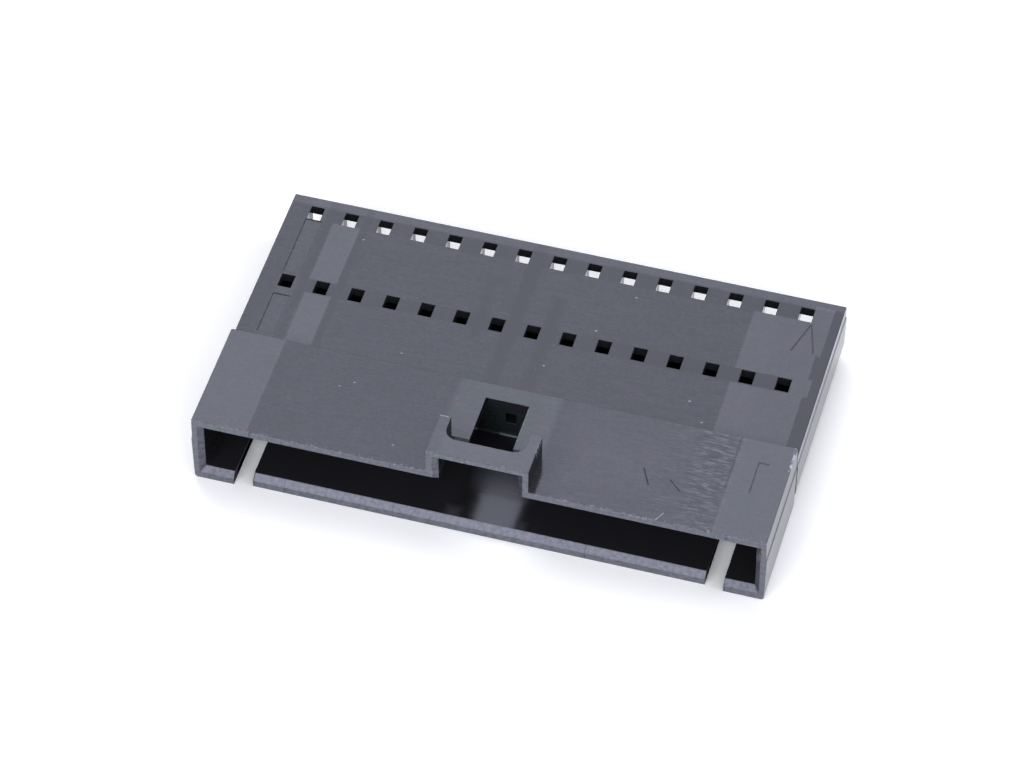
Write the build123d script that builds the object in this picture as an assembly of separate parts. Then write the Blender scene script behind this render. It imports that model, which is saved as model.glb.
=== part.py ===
from build123d import *
import os
from math import radians, tan

os.makedirs("parts", exist_ok=True)

# Single row, pin side crimp housing for board and cable connectors, one black plastic moulding.
# X runs along the row of terminals and Y from the socket's mouth (minus) to the wire side (plus).
# Z is up. The origin is at the middle of the footprint, on the underside of the shroud.

# Row of terminals
ways = 15
pitch = 2.54

# Outer form
end_margin = 2.3
block_depth = 14.4
block_thickness = 3.9
block_rise = 0.95
shroud_depth = 8.74
shroud_height = 5.74
edge_radius = 0.25
rear_step_radius = 0.3

# Split of the mould along both ends
parting_height = 3.85
parting_ledge = 0.05
end_draft = 1.0

# Socket in the shroud
top_wall = 0.9
bottom_wall = 0.94
side_wall = 0.8
socket_to_step = 0.1
socket_root_radius = 0.2
lead_in = 0.38
lead_in_top = 0.34
lead_in_bottom = 0.44

# Keying slots in the bottom wall and the tongue between them
slot_width = 1.32
slot_from_end_terminal = 1.22
tongue_setback = 0.2

# Latch bridge over the mouth and the window behind it
latch_offset = 0.1
bridge_width = 7.11
bridge_depth = 3.44
bridge_rise = 1.94
bridge_wall = 0.78
bar_depth = 1.53
bar_corner_radius = 0.85
channel_corner_radius = 0.15
latch_window_width = 3.05
latch_window_to_socket_end = 1.21

# Terminal cavities, open at the wire side
cavity_width = 1.9
cavity_height = 2.4
cavity_top_wall = 0.72
cavity_mouth_lead_in = 0.2
pin_wall = 1.65
pin_hole_width = 0.76
pin_hole_height = 0.95
pin_hole_drop = 2.13
pin_funnel = 0.3

# Windows into the cavities, two to each terminal
window_width = 0.96
window_shift = 0.27
lance_window_length = 1.2
lance_window_to_rear = 8.25
rear_window_length = 1.25
rear_window_to_rear = 1.46

# Two sunk strips at the left end of the block
strip_width = 1.2
strip_recess = 0.06
strip_to_end = 1.5
strip_spans = [(2.1, 7.4), (9.55, 13.3)]

# Places worked out from the sizes above
row_length = (ways - 1) * pitch
half_width = row_length / 2 + end_margin
total_depth = shroud_depth + block_depth
front = -total_depth / 2
rear = total_depth / 2
step = front + shroud_depth
socket_end = step - socket_to_step
latch_window_rear = socket_end - latch_window_to_socket_end
block_top = block_rise + block_thickness
ceiling = shroud_height - top_wall
bridge_top = shroud_height + bridge_rise
channel_top = bridge_top - bridge_wall
channel_width = bridge_width - 2 * bridge_wall
channel_end = front + bridge_depth
cavity_top = block_top - cavity_top_wall
cavity_base = cavity_top - cavity_height
cavity_end = socket_end + pin_wall
slot_centre = row_length / 2 - slot_from_end_terminal
terminal_places = [(way - (ways - 1) / 2) * pitch for way in range(ways)]
overcut = 1.0


def along_row_depth(section, y_from, y_to):
    """Extrude a section drawn in X and Z from one depth to another."""
    start = Plane(origin=(0, y_from, 0), x_dir=(1, 0, 0), z_dir=(0, -1, 0))
    return extrude(start * section, amount=y_from - y_to)


def cuboid(x_from, x_to, y_from, y_to, z_from, z_to):
    """Rectangular solid between three pairs of limits."""
    middle = ((x_from + x_to) / 2, (y_from + y_to) / 2, (z_from + z_to) / 2)
    return Pos(*middle) * Box(x_to - x_from, y_to - y_from, z_to - z_from)


def half_width_at(height):
    """Half the width at a height: both mould halves narrow away from the parting line."""
    if height <= parting_height:
        return half_width - (parting_height - height) * tan(radians(end_draft))
    return half_width - parting_ledge - (height - parting_height) * tan(radians(end_draft))


def moulded_section(underside, top):
    """Section across the row, with the ledge at the parting line and rounded lower corners."""
    right = [
        (half_width_at(underside), underside),
        (half_width, parting_height),
        (half_width - parting_ledge, parting_height),
        (half_width_at(top), top),
    ]
    left = [(-x, z) for x, z in reversed(right)]
    outline = make_face(Polyline(*right, *left, close=True))
    lower_corners = outline.vertices().group_by(Axis.Y)[0]
    return fillet(lower_corners, edge_radius)


def outer_form():
    """Terminal block with the taller shroud in front of it."""
    block = along_row_depth(moulded_section(block_rise, block_top), step, rear)
    shroud = along_row_depth(moulded_section(0, shroud_height), front, step)
    rear_bottom = shroud.edges().filter_by(Axis.X).group_by(Axis.Y)[-1].sort_by(Axis.Z)[0]
    shroud = fillet(rear_bottom, rear_step_radius)
    return block + shroud


def bridge_block():
    """Raised block over the mouth, before the channel and the bar are cut from it."""
    half = bridge_width / 2
    return cuboid(latch_offset - half, latch_offset + half, front, channel_end, ceiling, bridge_top)


def flared(room, flare):
    """Lead-in that opens one rectangle at the back of the flare to a larger one at the mouth."""
    faces = []
    for y, (left, right, low, high) in ((front + lead_in, room), (front, flare)):
        plane = Plane(origin=(0, y, 0), x_dir=(1, 0, 0), z_dir=(0, -1, 0))
        centre = ((left + right) / 2, (low + high) / 2)
        faces.append(plane * Pos(*centre) * Rectangle(right - left, high - low))
    return loft(faces)


def socket_cut():
    """Room for the mating connector, with rounded roots at the pin wall."""
    half = half_width - side_wall
    wide = half + lead_in
    room = cuboid(-half, half, front - overcut, socket_end, bottom_wall, ceiling)
    roots = room.faces().sort_by(Axis.Y)[-1].edges()
    room = fillet(roots, socket_root_radius)
    flare = (-wide, wide, bottom_wall - lead_in_bottom, ceiling + lead_in_top)
    return room + flared((-half, half, bottom_wall, ceiling), flare)


def latch_channel_cut():
    """Channel under the bridge, through the top wall, open to the mouth."""
    left = latch_offset - channel_width / 2
    right = latch_offset + channel_width / 2
    base = ceiling - overcut
    section = Pos(latch_offset, (base + channel_top) / 2) * Rectangle(channel_width, channel_top - base)
    upper_corners = section.vertices().group_by(Axis.Y)[-1]
    section = fillet(upper_corners, channel_corner_radius)
    channel = along_row_depth(section, front - overcut, channel_end)
    flare = (left - lead_in, right + lead_in, base, channel_top + lead_in)
    return channel + flared((left, right, base, channel_top), flare)


def bar_cut():
    """Opening behind the bar, with rounded corners where the two arms leave it."""
    y_from = front + bar_depth
    y_to = channel_end + bar_corner_radius
    centre = (latch_offset, (y_from + y_to) / 2)
    plan = Pos(*centre) * Rectangle(channel_width, y_to - y_from)
    front_corners = plan.vertices().group_by(Axis.Y)[0]
    plan = fillet(front_corners, bar_corner_radius)
    height = bridge_top + overcut - shroud_height
    return extrude(Pos(0, 0, shroud_height) * plan, amount=height)


def latch_window_cut():
    """Window in the top wall that the mating latch snaps into."""
    half = latch_window_width / 2
    y_from = channel_end - overcut
    return cuboid(
        latch_offset - half, latch_offset + half, y_from, latch_window_rear,
        ceiling - socket_root_radius, shroud_height + overcut,
    )


def bottom_wall_cuts():
    """Two keying slots, and the chamfered front of the tongue, which is set back between them."""
    half_slot = slot_width / 2
    slot_top = bottom_wall + lead_in_bottom
    slots = [
        cuboid(x - half_slot, x + half_slot, front - overcut, socket_end, -overcut, slot_top)
        for x in (-slot_centre, slot_centre)
    ]
    tongue_front = front + tongue_setback
    profile = Polyline(
        (front - overcut, -overcut),
        (tongue_front, -overcut),
        (tongue_front, bottom_wall - lead_in_bottom),
        (tongue_front + lead_in_bottom, bottom_wall),
        (tongue_front, bottom_wall + lead_in_bottom),
        (front - overcut, bottom_wall + lead_in_bottom),
        close=True,
    )
    start = Plane(origin=(-slot_centre, 0, 0), x_dir=(0, 1, 0), z_dir=(1, 0, 0))
    tongue = extrude(start * make_face(profile), amount=2 * slot_centre)
    return slots + [tongue]


def cavity_cut(x):
    """One terminal cavity: flared mouth, room for the crimp, funnel and pin hole."""
    half = cavity_width / 2
    height = (cavity_base + cavity_top) / 2
    pin_height = block_top - pin_hole_drop
    room = cuboid(x - half, x + half, cavity_end, rear, cavity_base, cavity_top)
    mouth_plane = Plane(origin=(x, rear, height), x_dir=(1, 0, 0), z_dir=(0, -1, 0))
    mouth_section = Rectangle(
        cavity_width + 2 * cavity_mouth_lead_in, cavity_height + 2 * cavity_mouth_lead_in
    )
    mouth = extrude(mouth_plane * mouth_section, amount=cavity_mouth_lead_in, taper=45)
    pin_plane = Plane(origin=(x, cavity_end, pin_height), x_dir=(1, 0, 0), z_dir=(0, -1, 0))
    hole_section = Rectangle(pin_hole_width, pin_hole_height)
    hole = extrude(pin_plane * hole_section, amount=pin_wall + socket_root_radius)
    funnel_section = Rectangle(pin_hole_width + 2 * pin_funnel, pin_hole_height + 2 * pin_funnel)
    funnel = extrude(pin_plane * funnel_section, amount=pin_funnel, taper=45)
    return [room, mouth, hole, funnel]


def window_cuts(x):
    """Lance window and rear window of one terminal, down into its cavity."""
    left = x - window_shift - window_width / 2
    cuts = []
    for length, to_rear in (
        (lance_window_length, lance_window_to_rear),
        (rear_window_length, rear_window_to_rear),
    ):
        middle = rear - to_rear
        cuts.append(
            cuboid(
                left, left + window_width, middle - length / 2, middle + length / 2,
                cavity_top - cavity_height / 2, block_top + overcut,
            )
        )
    return cuts


def strip_cuts():
    """Two shallow sunk strips beside the first terminal, left bare."""
    left = strip_to_end - half_width
    floor = block_top - strip_recess
    return [
        cuboid(left, left + strip_width, rear - far, rear - near, floor, block_top + overcut)
        for near, far in strip_spans
    ]


def housing():
    """The whole moulding."""
    body = outer_form() + bridge_block()
    cuts = [socket_cut(), latch_channel_cut(), bar_cut(), latch_window_cut()]
    cuts += bottom_wall_cuts() + strip_cuts()
    for x in terminal_places:
        cuts += cavity_cut(x) + window_cuts(x)
    return body - cuts


export_step(housing(), "parts/housing.step")
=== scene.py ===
import bpy
from math import pi, radians
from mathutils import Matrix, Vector

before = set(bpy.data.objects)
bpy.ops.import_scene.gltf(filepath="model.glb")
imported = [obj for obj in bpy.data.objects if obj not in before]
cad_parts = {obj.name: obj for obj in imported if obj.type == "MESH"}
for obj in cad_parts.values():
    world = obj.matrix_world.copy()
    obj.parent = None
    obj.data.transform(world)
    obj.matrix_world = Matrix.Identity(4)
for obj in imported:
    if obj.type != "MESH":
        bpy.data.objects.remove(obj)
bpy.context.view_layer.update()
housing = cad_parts["housing"]

# The material works in millimetres in the frame's axes. Camera, floor, flag and lamps are in metres.
MM = 0.001


# Camera at the photograph's angle, for a picture of 1024 by 768

camera_data = bpy.data.cameras.new("camera")
camera_data.sensor_width = 36
camera_data.lens = 164.95
camera_data.clip_start = 0.01
camera_data.clip_end = 20
camera = bpy.data.objects.new("camera", camera_data)
camera.location = (0.058859, -0.208386, 0.241945)
camera.rotation_euler = (radians(42.20), 0, radians(15.97))
bpy.context.scene.collection.objects.link(camera)
bpy.context.scene.camera = camera
bpy.context.scene.view_settings.view_transform = "Standard"


# Node helpers

class Recipe:
    """Adds nodes to a material or a world and joins them, one call to a node."""

    def __init__(self, owner):
        owner.use_nodes = True
        self.tree = owner.node_tree
        self.tree.nodes.clear()

    def put(self, socket, value):
        """Joins an output to a socket, or sets a plain value on it."""
        if isinstance(value, bpy.types.NodeSocket):
            self.tree.links.new(value, socket)
        elif value is not None:
            socket.default_value = value

    def node(self, kind, inputs=None, **settings):
        """Makes a node with its settings and its inputs by name."""
        made = self.tree.nodes.new(kind)
        for name, value in settings.items():
            setattr(made, name, value)
        for name, value in (inputs or {}).items():
            self.put(made.inputs[name], value)
        return made

    def math(self, operation, a, b=None, c=None, clamp=False):
        """A number worked out from up to three others."""
        made = self.node("ShaderNodeMath", operation=operation, use_clamp=clamp)
        for index, value in enumerate((a, b, c)):
            self.put(made.inputs[index], value)
        return made.outputs[0]

    def fold(self, operation, values):
        """One operation run along a row of numbers."""
        result, *others = values
        for value in others:
            result = self.math(operation, result, value)
        return result

    def total(self, *values):
        """The sum of some numbers."""
        return self.fold("ADD", values)

    def product(self, *values):
        """Some numbers times each other, or what several masks share."""
        return self.fold("MULTIPLY", values)

    def largest(self, *values):
        """The largest of some numbers, or what any of several masks covers."""
        return self.fold("MAXIMUM", values)

    def smallest(self, *values):
        """The smallest of some numbers, or what all of several masks cover."""
        return self.fold("MINIMUM", values)

    def weighted(self, terms, base=0.0):
        """A base value plus some masks, each times its weight."""
        return self.total(*(self.product(mask, weight) for mask, weight in terms), base)

    def inverse(self, mask):
        """1 where a mask is 0."""
        return self.math("SUBTRACT", 1.0, mask)

    def centred(self, noise):
        """Noise moved from about 0.5 to about 0."""
        return self.math("SUBTRACT", noise, 0.5)

    def ramp(self, value, low, high, to_low=0.0, to_high=1.0):
        """Runs a value from one pair of limits to another, held at the ends."""
        inputs = {
            "Value": value, "From Min": low, "From Max": high, "To Min": to_low, "To Max": to_high,
        }
        return self.node("ShaderNodeMapRange", inputs).outputs["Result"]

    def vector(self, operation, a, b=None):
        """A vector, or a number for a dot product, worked out from up to two others."""
        made = self.node("ShaderNodeVectorMath", operation=operation)
        self.put(made.inputs[0], a)
        self.put(made.inputs[1], b)
        return made.outputs["Value" if operation == "DOT_PRODUCT" else "Vector"]

    def scaled(self, vector, factor):
        """A vector or colour times a number."""
        made = self.node("ShaderNodeVectorMath", operation="SCALE")
        self.put(made.inputs[0], vector)
        self.put(made.inputs["Scale"], factor)
        return made.outputs["Vector"]

    def parts(self, vector):
        """The X, Y and Z of a vector."""
        return tuple(self.node("ShaderNodeSeparateXYZ", {"Vector": vector}).outputs)

    def noise(self, place, scale, detail, roughness):
        """Noise from 0 to 1 at a place in millimetres."""
        inputs = {"Vector": place, "Scale": scale, "Detail": detail, "Roughness": roughness}
        return self.node("ShaderNodeTexNoise", inputs).outputs["Fac"]

    def mix(self, share, a, b):
        """A colour between two others."""
        made = self.node("ShaderNodeMix", data_type="RGBA")
        self.put(made.inputs[0], share)
        self.put(made.inputs[6], a)
        self.put(made.inputs[7], b)
        return made.outputs[2]


# Moulded black plastic

plastic = bpy.data.materials.new("black_plastic")
r = Recipe(plastic)
place = r.scaled(r.node("ShaderNodeTexCoord").outputs["Object"], 1 / MM)
x, y, z = r.parts(place)
normal = r.node("ShaderNodeNewGeometry").outputs["True Normal"]
normal_x, normal_y, normal_z = r.parts(normal)


def band(value, limits, soft):
    """1 between two limits, 0 outside, with soft borders."""
    low, high = limits
    middle = (low + high) / 2
    half = (high - low) / 2
    away = r.math("ABSOLUTE", r.math("SUBTRACT", value, middle))
    return r.math("MULTIPLY_ADD", away, -1 / soft, half / soft + 0.5, clamp=True)


def field(x_limits, y_limits, soft=0.12):
    """1 inside a rectangle seen from above."""
    return r.smallest(band(x, x_limits, soft), band(y, y_limits, soft))


def fields(*rectangles):
    """1 inside any of some rectangles seen from above."""
    return r.largest(*(field(x_limits, y_limits) for x_limits, y_limits in rectangles))


def stroke(start, end, width):
    """1 on a thin straight line seen from above."""
    a, b = Vector(start), Vector(end)
    along = (b - a).normalized()
    offset = r.vector("SUBTRACT", place, (a.x, a.y, 0))
    run = r.vector("DOT_PRODUCT", offset, (along.x, along.y, 0))
    side = r.vector("DOT_PRODUCT", offset, (-along.y, along.x, 0))
    soft = width * 0.8
    return r.smallest(band(side, (-width / 2, width / 2), soft), band(run, (0, (b - a).length), soft))


def strokes(lines):
    """1 on any of some thin lines, each with its start, end and width."""
    return r.largest(*(stroke(start, end, width) for start, end, width in lines))


# Spans of height, each a little wider than the face it stands for
BLOCK_TOP = (4.7, 4.95)
SHROUD_TOP = (5.6, 5.9)
BAR_TOP = (7.5, 7.9)
PARTING_LEDGE = (3.8, 3.9)
SOCKET_FLOOR = (0.9, 1.0)

# Ways a face can look
facing_up = r.ramp(normal_z, 0.9, 0.95)
not_up = r.inverse(facing_up)
facing_right = r.ramp(normal_x, 0.9, 0.95)
facing_mouth = r.ramp(r.product(normal_y, -1), 0.6, 0.7)
square_to_mouth = r.ramp(normal_y, -0.9, -0.95)

# Top faces
on_block = r.product(facing_up, band(z, BLOCK_TOP, 0.05))
on_shroud = r.product(facing_up, band(z, SHROUD_TOP, 0.05))
on_bar = r.product(facing_up, band(z, BAR_TOP, 0.05))
ledge_painted_light = r.product(facing_up, band(z, PARTING_LEDGE, 0.02))
tops = r.largest(on_block, on_shroud, on_bar)

# Faces and edges at the mouth; the faces toward the mouth get painted light in the tone below
mouth_rim = r.product(facing_mouth, r.ramp(y, -10.8, -11.0))
front_face_painted_light = r.product(square_to_mouth, r.ramp(y, -11.2, -11.3))
front_lip = r.smallest(
    r.ramp(y, -11.40, -11.48),
    r.largest(band(z, (5.60, 5.80), 0.05), band(z, (7.25, 7.75), 0.1)),
)
slot_edges = r.product(
    r.largest(band(x, (-15.95, -15.80), 0.05), band(x, (17.15, 17.32), 0.05)),
    mouth_rim,
)
witness_lines = r.largest(*(band(x, (at, at + 0.07), 0.06) for at in (-13.7, -6.0, 7.5)))

# Right end, arms of the bridge and right sides of the rear windows: a painted reflection on the upper end of
# the block, painted shade on the right-facing faces of both arms and painted light on the windows' right
# sides
right_end = r.product(facing_right, r.ramp(x, 19.7, 19.8))
block_end_painted_reflection = r.product(right_end, band(z, (3.9, 4.9), 0.05), band(y, (-2.7, 12), 0.2))
arm_inner_painted_shade = r.product(
    facing_right, r.smallest(band(x, (-2.8, -2.5), 0.05), band(z, (5.6, 7.7), 0.02)),
)
arm_outer_painted_shade = r.product(
    facing_right, r.smallest(band(x, (3.5, 3.8), 0.05), band(z, (5.74, 7.7), 0.02)),
)
window_side_painted_light = r.product(
    facing_right,
    r.smallest(band(z, (4.13, 4.84), 0.02), field((-19, 17.5), (9.4, 10.02), 0.08)),
)

# Sides of the keying slots, which get painted shade, and a painted highlight along the edges of the feet
# beside them
slot_side = r.product(
    r.math("ABSOLUTE", normal_x),
    band(z, (-0.2, 0.93), 0.02),
    r.largest(
        field((-17.3, -15.8), (-11.6, -2.8), 0.02),
        field((15.8, 17.3), (-11.6, -2.8), 0.02),
    ),
)
foot_edge_painted_highlight = r.product(
    slot_side,
    facing_right,
    r.largest(band(z, (0.62, 0.86), 0.08), r.ramp(y, -10.3, -11.0, 0.0, 0.7)),
)

# Inside of the socket and the cavities, which gets painted shade, with painted shade on the latch window's
# walls and a painted highlight along the foot of the pin wall
inner_heights = r.largest(
    band(z, (0.9, 4.7), 0.1),
    r.product(band(z, (0.9, 5.74), 0.02), not_up),
)
inside = r.smallest(field((-19.4, 19.4), (-11.15, 11.3), 0.05), inner_heights)
pin_wall = r.product(
    r.smallest(field((-1.9, 2.1), (-4.0, -2.7), 0.2), band(z, (0.9, 4.8), 0.02)), not_up,
)
window_wall_painted_shade = r.product(
    r.smallest(field((-1.9, 2.1), (-8.2, -4.0), 0.1), band(z, (4.8, 5.73), 0.02)), not_up,
)
root_painted_highlight = r.smallest(field((-0.80, 0.6), (-3.12, -2.94), 0.03), band(z, (0.96, 1.16), 0.03))

# Floor of the socket, with the land under the bridge where light falls in, and painted light on two patches
# at its front
on_land = r.product(facing_up, band(z, SOCKET_FLOOR, 0.02))
land = r.product(
    facing_up,
    r.smallest(field((-1.9, 3.3), (-11.4, -3.0), 1.2), band(z, SOCKET_FLOOR, 0.02)),
)
land_painted_light = r.product(on_land, r.largest(
    field((-2.3, -1.5), (-11.4, -10.2), 0.7),
    r.product(field((2.7, 3.2), (-11.2, -10.2), 0.4), 0.6),
))

# Inserts of the mould, each with its own finish
block_pads = fields(
    ((-16.58, -14.58), (3.98, 9.54)),
    ((-16.50, -14.58), (-3.2, 2.65)),
    ((13.97, 19.39), (3.98, 9.54)),
    ((18.0, 19.39), (9.4, 11.07)),
    ((13.97, 19.06), (-3.2, 2.62)),
    ((18.0, 19.39), (2.5, 4.1)),
)
block_notch = field((19.06, 20.5), (4.26, 6.48))
pads_on_block = r.product(r.math("SUBTRACT", block_pads, block_notch, clamp=True), on_block)
pads_on_shroud = r.product(r.inverse(band(x, (-16.07, 16.23), 0.1)), on_shroud)
pads = r.total(pads_on_block, pads_on_shroud)
pad_border = r.product(field((16.10, 16.24), (-7.6, -2.83), 0.08), on_shroud)
latch_patch = r.product(field((-3.47, 3.64), (-8.3, 0), 0.4), on_shroud)

# Darker strips along the two rows of windows
links = r.product(on_block, fields(
    ((-16.8, 18.0), (2.65, 3.93)),
    ((-16.8, 18.0), (9.4, 10.75)),
))
strong_links = r.product(on_block, fields(
    ((15.47, 17.03), (9.5, 10.79)),
    ((15.47, 17.03), (2.7, 3.93)),
    ((13.0, 14.5), (2.7, 3.93)),
))
dark_links = r.product(field((6.0, 14.5), (2.65, 3.93), 0.4), on_block)

# Borders of the block, and columns that run from its front to its rear
right_edge = r.product(on_block, fields(
    ((19.39, 20.5), (-3.2, 11.07)),
    ((19.06, 20.5), (4.26, 6.48)),
    ((19.06, 20.5), (-3.2, 2.6)),
))
left_edge = r.product(band(x, (-20.5, -18.6), 0.15), on_block)
rear_edge = r.product(band(y, (10.85, 12), 0.25), on_block)
beside_strips = r.product(band(x, (-18.6, -16.9), 0.5), on_block)
columns = r.product(on_block, r.weighted([
    (band(x, (-2.25, -1.3), 0.4), 1.0),
    (field((-4.5, -3.8), (1.5, 7.5), 0.6), 0.7),
    (field((0.36, 1.2), (-3, 7), 0.6), 0.9),
    (band(x, (-14.58, -14.03), 0.15), 0.7),
    (band(x, (-17.3, -16.7), 0.2), 1.1),
]))

# Places on the shroud: a paler patch right of the middle, a glossier top beside the right arm, and painted
# shade in the corner by the left arm
paler_patch_right = r.product(field((6.0, 11.5), (-9.6, -5.2), 1.6), on_shroud)
beside_arm = r.product(field((3.5, 5.2), (-12, -8.4), 0.6), on_shroud)
arm_corner_painted_shade = r.product(field((-3.2, -1.5), (-8.8, -7.6), 1.1), on_shroud)


def stretched_noise(stretch, scale, detail):
    """Noise drawn out along some axes."""
    return r.noise(r.vector("MULTIPLY", place, stretch), scale, detail, roughness=0.6)


# Machining marks of the mould, which run along the row, and coarse ones right of the middle
machining = stretched_noise((0.35, 6.0, 6.0), scale=1.6, detail=3)
fine_machining = stretched_noise((1.2, 16, 16), scale=1.2, detail=2)
streaks = stretched_noise((1.3, 10.0, 10.0), scale=1.0, detail=2)
side_streaks = stretched_noise((4.0, 0.5, 5.0), scale=1.0, detail=3)
land_ripple = stretched_noise((0.4, 9.0, 1.0), scale=1.0, detail=2)
coarse_marks = r.product(on_shroud, r.weighted([
    (field((11.0, 16.2), (-12, 0), 1.6), 0.25),
    (field((13.6, 16.2), (-12, 0), 0.5), 0.45),
    (field((13.6, 16.2), (-8.6, 0), 1.6), 0.30),
]))
light_streaks = r.product(r.ramp(streaks, 0.50, 0.70), coarse_marks)
dark_streaks = r.product(r.ramp(streaks, 0.48, 0.33), coarse_marks)
plain_top = r.math("SUBTRACT", r.largest(on_block, on_shroud), pads, clamp=True)

# Unevenness without a direction
grain = r.noise(place, scale=9.0, detail=3, roughness=0.6)
mottle = r.noise(place, scale=3.2, detail=2, roughness=0.6)
clouds = r.noise(place, scale=0.35, detail=3, roughness=0.5)
tints = r.noise(place, scale=0.9, detail=2, roughness=0.5)
specks = r.ramp(r.noise(place, scale=5.2, detail=2, roughness=0.5), 0.765, 0.80)
lip_noise = r.noise(place, scale=5.5, detail=2, roughness=0.6)
wear_noise = r.noise(place, scale=2.4, detail=3, roughness=0.6)

# Thin lines cut or scratched into the top
marks = r.product(tops, strokes([
    ((18.05, 9.26), (17.27, 6.57), 0.07),
    ((18.09, 9.26), (18.80, 6.70), 0.07),
    ((17.81, -4.77), (18.50, -4.77), 0.07),
    ((17.81, -4.77), (17.81, -7.6), 0.07),
    ((10.50, -7.32), (11.14, -8.66), 0.07),
    ((12.45, -7.88), (13.36, -8.71), 0.05),
]))

# Small pale nicks from handling
nicks = r.product(tops, strokes([
    ((3.86, 4.60), (3.98, 4.68), 0.09),
    ((5.72, 8.42), (5.86, 8.48), 0.09),
    ((-8.46, -1.04), (-8.26, -1.02), 0.05),
    ((11.69, 0.08), (11.83, 0.14), 0.09),
    ((12.94, -1.58), (13.08, -1.52), 0.09),
    ((1.28, 0.50), (1.40, 0.56), 0.08),
    ((-14.12, 8.52), (-14.02, 8.66), 0.07),
    ((12.39, -11.54), (12.78, -10.79), 0.05),
    ((-10.46, -5.27), (-10.34, -5.27), 0.08),
    ((-6.31, -10.0), (-6.19, -10.0), 0.08),
    ((-11.35, -5.86), (-11.25, -5.86), 0.07),
]))

# Pale specks along the front lip, fewer on the bar, and bright ends of four edges
fewer_on_bar = r.inverse(r.product(band(z, (7.2, 7.8), 0.1), 0.40))
lip_specks = r.product(r.ramp(lip_noise, 0.54, 0.70), front_lip, fewer_on_bar)
corner_flashes = r.product(r.ramp(lip_noise, 0.44, 0.56), r.weighted([
    (r.smallest(field((19.85, 20.2), (-5.0, -2.7), 0.1), band(z, (5.55, 5.85), 0.05)), 1.8),
    (r.smallest(field((3.62, 3.8), (-9.7, -8.1), 0.06), band(z, (7.15, 7.75), 0.2)), 1.0),
    (r.smallest(field((-3.6, -2.6), (-8.22, -8.0), 0.04), band(z, (7.5, 7.8), 0.05)), 1.0),
    (r.smallest(field((1.61, 1.70), (-7.4, -4.2), 0.06), on_shroud), 0.4),
]))

# Edges: a small radius that catches the light, and paler where handling rubbed it.
# Three places keep sharp edges: the parting line, the step at the right end and the foot of the right arm.
EDGE_RADIUS = 0.07 * MM
SHARP_RADIUS = 0.01 * MM
sharp_places = r.largest(
    band(z, (3.70, 4.00), 0.02),
    r.smallest(field((19.6, 20.3), (-3.1, -2.5), 0.05), band(z, (-1, 2), 0.2)),
    r.smallest(field((3.4, 3.9), (-11.5, -8.2), 0.05), band(z, (5.4, 6.1), 0.1)),
)
radius = r.math("MULTIPLY_ADD", sharp_places, SHARP_RADIUS - EDGE_RADIUS, EDGE_RADIUS)
rounded = r.node("ShaderNodeBevel", {"Radius": radius}, samples=6).outputs[0]
edge = r.ramp(r.vector("DOT_PRODUCT", rounded, normal), 0.99, 0.86)
edge_wear = r.product(edge, r.ramp(wear_noise, 0.42, 0.7))

# Brightness of the base colour, with painted light and painted shade on some faces among its terms
BASE_TONE = 0.020
DARKEST_TONE = 0.002
tone = r.weighted([
    (tops, -0.0080),
    (r.product(r.ramp(x, 2.0, 6.0), on_shroud), 0.015),
    # Painted light: the parting ledge made as pale as the faces beside it
    (ledge_painted_light, 0.35),
    # Painted shade: the inside of the socket and the cavities darker
    (inside, -0.004),
    # Painted reflection: the upper end of the block pale, as if mirroring the white floor
    (block_end_painted_reflection, 0.122),
    # Painted shade: the right arm's outer face darker
    (arm_outer_painted_shade, -0.014),
    (pin_wall, 0.005),
    # Painted shade on the latch window's walls
    (window_wall_painted_shade, -0.012),
    # Painted shade: the sides of the keying slots darker
    (slot_side, -0.03),
    (slot_edges, -0.06),
    (r.product(r.centred(side_streaks), right_end), 0.14),
    # Painted light: the front faces lighter
    (front_face_painted_light, 0.045),
    (pads, 0.0405),
    (r.product(pads, r.ramp(x, 15.5, 16.5)), -0.004),
    (dark_links, -0.009),
    (paler_patch_right, 0.007),
    (beside_strips, 0.008),
    # Painted highlight along the edges of the feet beside the slots
    (foot_edge_painted_highlight, 0.10),
    # Painted light on two patches of the socket floor
    (land_painted_light, 0.03),
    # Painted light: the right sides of the rear windows pale
    (window_side_painted_light, 0.50),
    # Painted highlight along the foot of the pin wall
    (root_painted_highlight, 0.12),
    (land, -0.006),
    # Painted shade in the corner by the left arm
    (arm_corner_painted_shade, -0.024),
    (links, -0.008),
    (strong_links, -0.012),
    (right_edge, -0.026),
    (left_edge, -0.004),
    (rear_edge, 0.026),
    (columns, -0.014),
    (latch_patch, 0.030),
    (on_bar, 0.044),
    (r.product(on_bar, r.ramp(x, -2.4, -2.9)), -0.014),
    # Painted shade on the left arm's inner face
    (arm_inner_painted_shade, -0.02),
    # Painted light on the rim of the mouth
    (mouth_rim, 0.073),
    (r.product(witness_lines, mouth_rim), -0.05),
    (r.product(r.centred(clouds), tops), 0.012),
    (r.product(r.centred(machining), plain_top), 0.040),
    (r.product(r.centred(grain), tops), 0.020),
    (r.product(r.centred(mottle), tops), 0.030),
    (r.product(r.centred(mottle), mouth_rim), 0.16),
    (light_streaks, 0.095),
    (dark_streaks, -0.026),
    (pad_border, -0.03),
    (r.product(specks, tops), 0.05),
    (lip_specks, 0.14),
    (corner_flashes, 0.22),
    (nicks, 0.26),
    (edge_wear, 0.06),
    (marks, -0.03),
], BASE_TONE)
tone = r.largest(tone, DARKEST_TONE)

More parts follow.
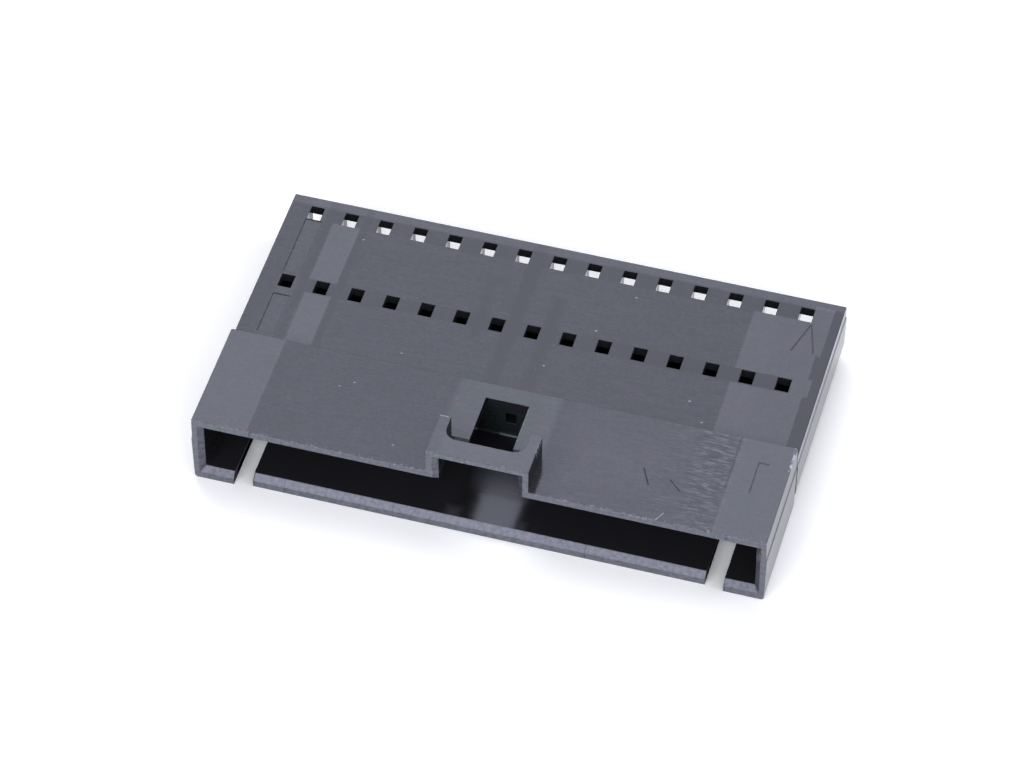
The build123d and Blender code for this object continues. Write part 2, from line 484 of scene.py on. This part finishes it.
# Hue of the base colour, a bluish black that turns greenish in places
BLUISH = (0.94, 0.95, 1.17, 1)
GREENISH = (0.62, 1.01, 0.90, 1)
green_places = r.largest(
    r.product(latch_patch, 0.8),
    r.product(field((-3.8, -1.3), (-3, 1.3), 1.0), on_block),
    r.product(field((0.36, 1.2), (-0.5, 1.9), 0.6), on_block),
    pin_wall,
)
green = r.total(
    r.product(green_places, 0.6),
    r.ramp(tints, 0.35, 0.70, -0.45, 0.50),
    r.product(inside, 0.2),
)
green = r.product(green, r.inverse(on_land))
colour = r.scaled(r.mix(green, BLUISH, GREENISH), tone)

# Roughness
BASE_ROUGHNESS = 0.15
roughness = r.weighted([
    (pads, 0.08),
    (latch_patch, -0.05),
    (r.centred(grain), 0.10),
    (r.product(r.centred(machining), plain_top), 0.12),
    (inside, -0.035),
    (beside_arm, -0.10),
    (land, r.ramp(y, -8.8, -7.2, 0.045, 0.24)),
    (window_wall_painted_shade, -0.06),
    (edge_wear, 0.15),
    (tops, 0.06),
], BASE_ROUGHNESS)

# Relief, in steps of a few thousandths of a millimetre
RELIEF_STEP = 0.004 * MM
relief = r.weighted([
    (r.product(machining, plain_top), 0.55),
    (r.product(fine_machining, plain_top), 0.25),
    (r.product(fine_machining, coarse_marks), 1.2),
    (grain, 0.30),
    (marks, -6.0),
    (pads, 1.5),
])
bump = r.node("ShaderNodeBump", {
    "Strength": 1.0,
    "Distance": RELIEF_STEP,
    "Height": relief,
    "Normal": rounded,
})

# Lean of the surface: the land is rippled and a little bowed, as moulded walls are, and the sides
# of the keying slots mirror less of the floor than upright faces would.
lean = r.node("ShaderNodeCombineXYZ", {
    "X": r.product(land, r.ramp(land_ripple, 0.2, 0.8, -0.008, 0.038)),
    "Y": r.product(land, r.ramp(y, -8.3, -6.4, 0.0, -0.085)),
    "Z": r.product(slot_side, 0.9),
}).outputs[0]
shading_normal = r.vector("NORMALIZE", r.vector("ADD", bump.outputs["Normal"], lean))

surface = r.node("ShaderNodeBsdfPrincipled", {
    "Base Color": colour,
    "Roughness": roughness,
    "IOR": 1.5,
    "Specular Tint": (0.74, 0.77, 1.0, 1),
    "Normal": shading_normal,
})
r.node("ShaderNodeOutputMaterial", {"Surface": surface.outputs["BSDF"]})
for slot in housing.material_slots:
    slot.material = plastic


# Floor and light

def light_path(recipe):
    """1 for what the camera sees, also in gloss and through clear things, 0 for light on the object."""
    path = recipe.node("ShaderNodeLightPath").outputs
    return recipe.largest(
        path["Is Camera Ray"], path["Is Glossy Ray"], path["Is Transmission Ray"],
    )


def matt_white(name, white, gain):
    """Matt white that shows brighter than it lights, so that it reads as plain white and keeps its shadow."""
    material = bpy.data.materials.new(name)
    m = Recipe(material)
    cool = (0.985, 0.99, 1.03)
    matt = m.node("ShaderNodeBsdfDiffuse", {"Color": (*(white * share for share in cool), 1)})
    seen = m.product(light_path(m), white * gain)
    lifted = m.node("ShaderNodeBsdfDiffuse", {"Color": m.scaled(cool, seen)})
    both = m.node("ShaderNodeAddShader")
    m.put(both.inputs[0], matt.outputs[0])
    m.put(both.inputs[1], lifted.outputs[0])
    m.node("ShaderNodeOutputMaterial", {"Surface": both.outputs[0]})
    return material


def matt_black(name):
    """Matt black."""
    material = bpy.data.materials.new(name)
    m = Recipe(material)
    matt = m.node("ShaderNodeBsdfDiffuse", {"Color": (0.01, 0.01, 0.01, 1)})
    m.node("ShaderNodeOutputMaterial", {"Surface": matt.outputs[0]})
    return material


def sheet(name, corners, material):
    """Flat sheet with four corners."""
    mesh = bpy.data.meshes.new(name)
    mesh.from_pydata(corners, [], [(0, 1, 2, 3)])
    mesh.materials.append(material)
    made = bpy.data.objects.new(name, mesh)
    bpy.context.scene.collection.objects.link(made)
    return made


# The floor lies just under the part, which stands on it
FLOOR_REACH = 1.5
FLOOR_HEIGHT = -0.00002
floor = sheet("floor", [
    (-FLOOR_REACH, -FLOOR_REACH, FLOOR_HEIGHT),
    (FLOOR_REACH, -FLOOR_REACH, FLOOR_HEIGHT),
    (FLOOR_REACH, FLOOR_REACH, FLOOR_HEIGHT),
    (-FLOOR_REACH, FLOOR_REACH, FLOOR_HEIGHT),
], matt_white("floor_white", white=0.80, gain=0.42))

# The flag stands in front of the part and out of the picture, and keeps its front from mirroring white
FLAG_HALF_WIDTH = 0.16
FLAG_PLACE = -0.15
FLAG_TOP = 0.062
flag = sheet("flag", [
    (-FLAG_HALF_WIDTH, FLAG_PLACE, 0),
    (FLAG_HALF_WIDTH, FLAG_PLACE, 0),
    (FLAG_HALF_WIDTH, FLAG_PLACE, FLAG_TOP),
    (-FLAG_HALF_WIDTH, FLAG_PLACE, FLAG_TOP),
], matt_black("flag_black"))


def softbox(name, direction, distance, size, radiance, colour=(1, 1, 1)):
    """Rectangular lamp that faces the object from a direction, at a brightness of its own face."""
    width, height = size
    data = bpy.data.lights.new(name, "AREA")
    data.shape = "RECTANGLE"
    data.size = width
    data.size_y = height
    data.energy = radiance * pi * width * height
    data.color = colour
    lamp = bpy.data.objects.new(name, data)
    away = Vector(direction).normalized()
    lamp.location = away * distance
    lamp.rotation_euler = away.to_track_quat("Z", "Y").to_euler()
    bpy.context.scene.collection.objects.link(lamp)


COOL_LIGHT = (0.93, 0.96, 1.0)
softbox("softbox_behind", (-0.32, 0.646, 0.741), 0.95, size=(0.65, 0.80), radiance=1.9)
softbox("softbox_above", (0.12, 0.14, 0.98), 1.0, size=(1.40, 0.42), radiance=1.5)
softbox("softbox_front", (-0.10, -0.75, 0.65), 1.0, size=(0.70, 0.45), radiance=4.4)
softbox("softbox_front_left", (-0.41, -0.65, 0.64), 0.95, size=(0.40, 0.45), radiance=1.2)
softbox("softbox_front_right", (0.45, -0.78, 0.47), 1.0, size=(0.45, 0.45), radiance=4.0)
softbox("softbox_right", (0.90, -0.05, 0.50), 0.95, size=(0.70, 0.50), radiance=3.6, colour=COOL_LIGHT)

# The world is white where it is seen and dim where it lights the object
WORLD_LIGHT = 0.18
world = bpy.data.worlds.new("studio")
bpy.context.scene.world = world
w = Recipe(world)
strength = w.math("MULTIPLY_ADD", light_path(w), 1 - WORLD_LIGHT, WORLD_LIGHT)
sky = w.node("ShaderNodeBackground", {"Color": (1, 1, 1, 1), "Strength": strength})
w.node("ShaderNodeOutputWorld", {"Surface": sky.outputs[0]})
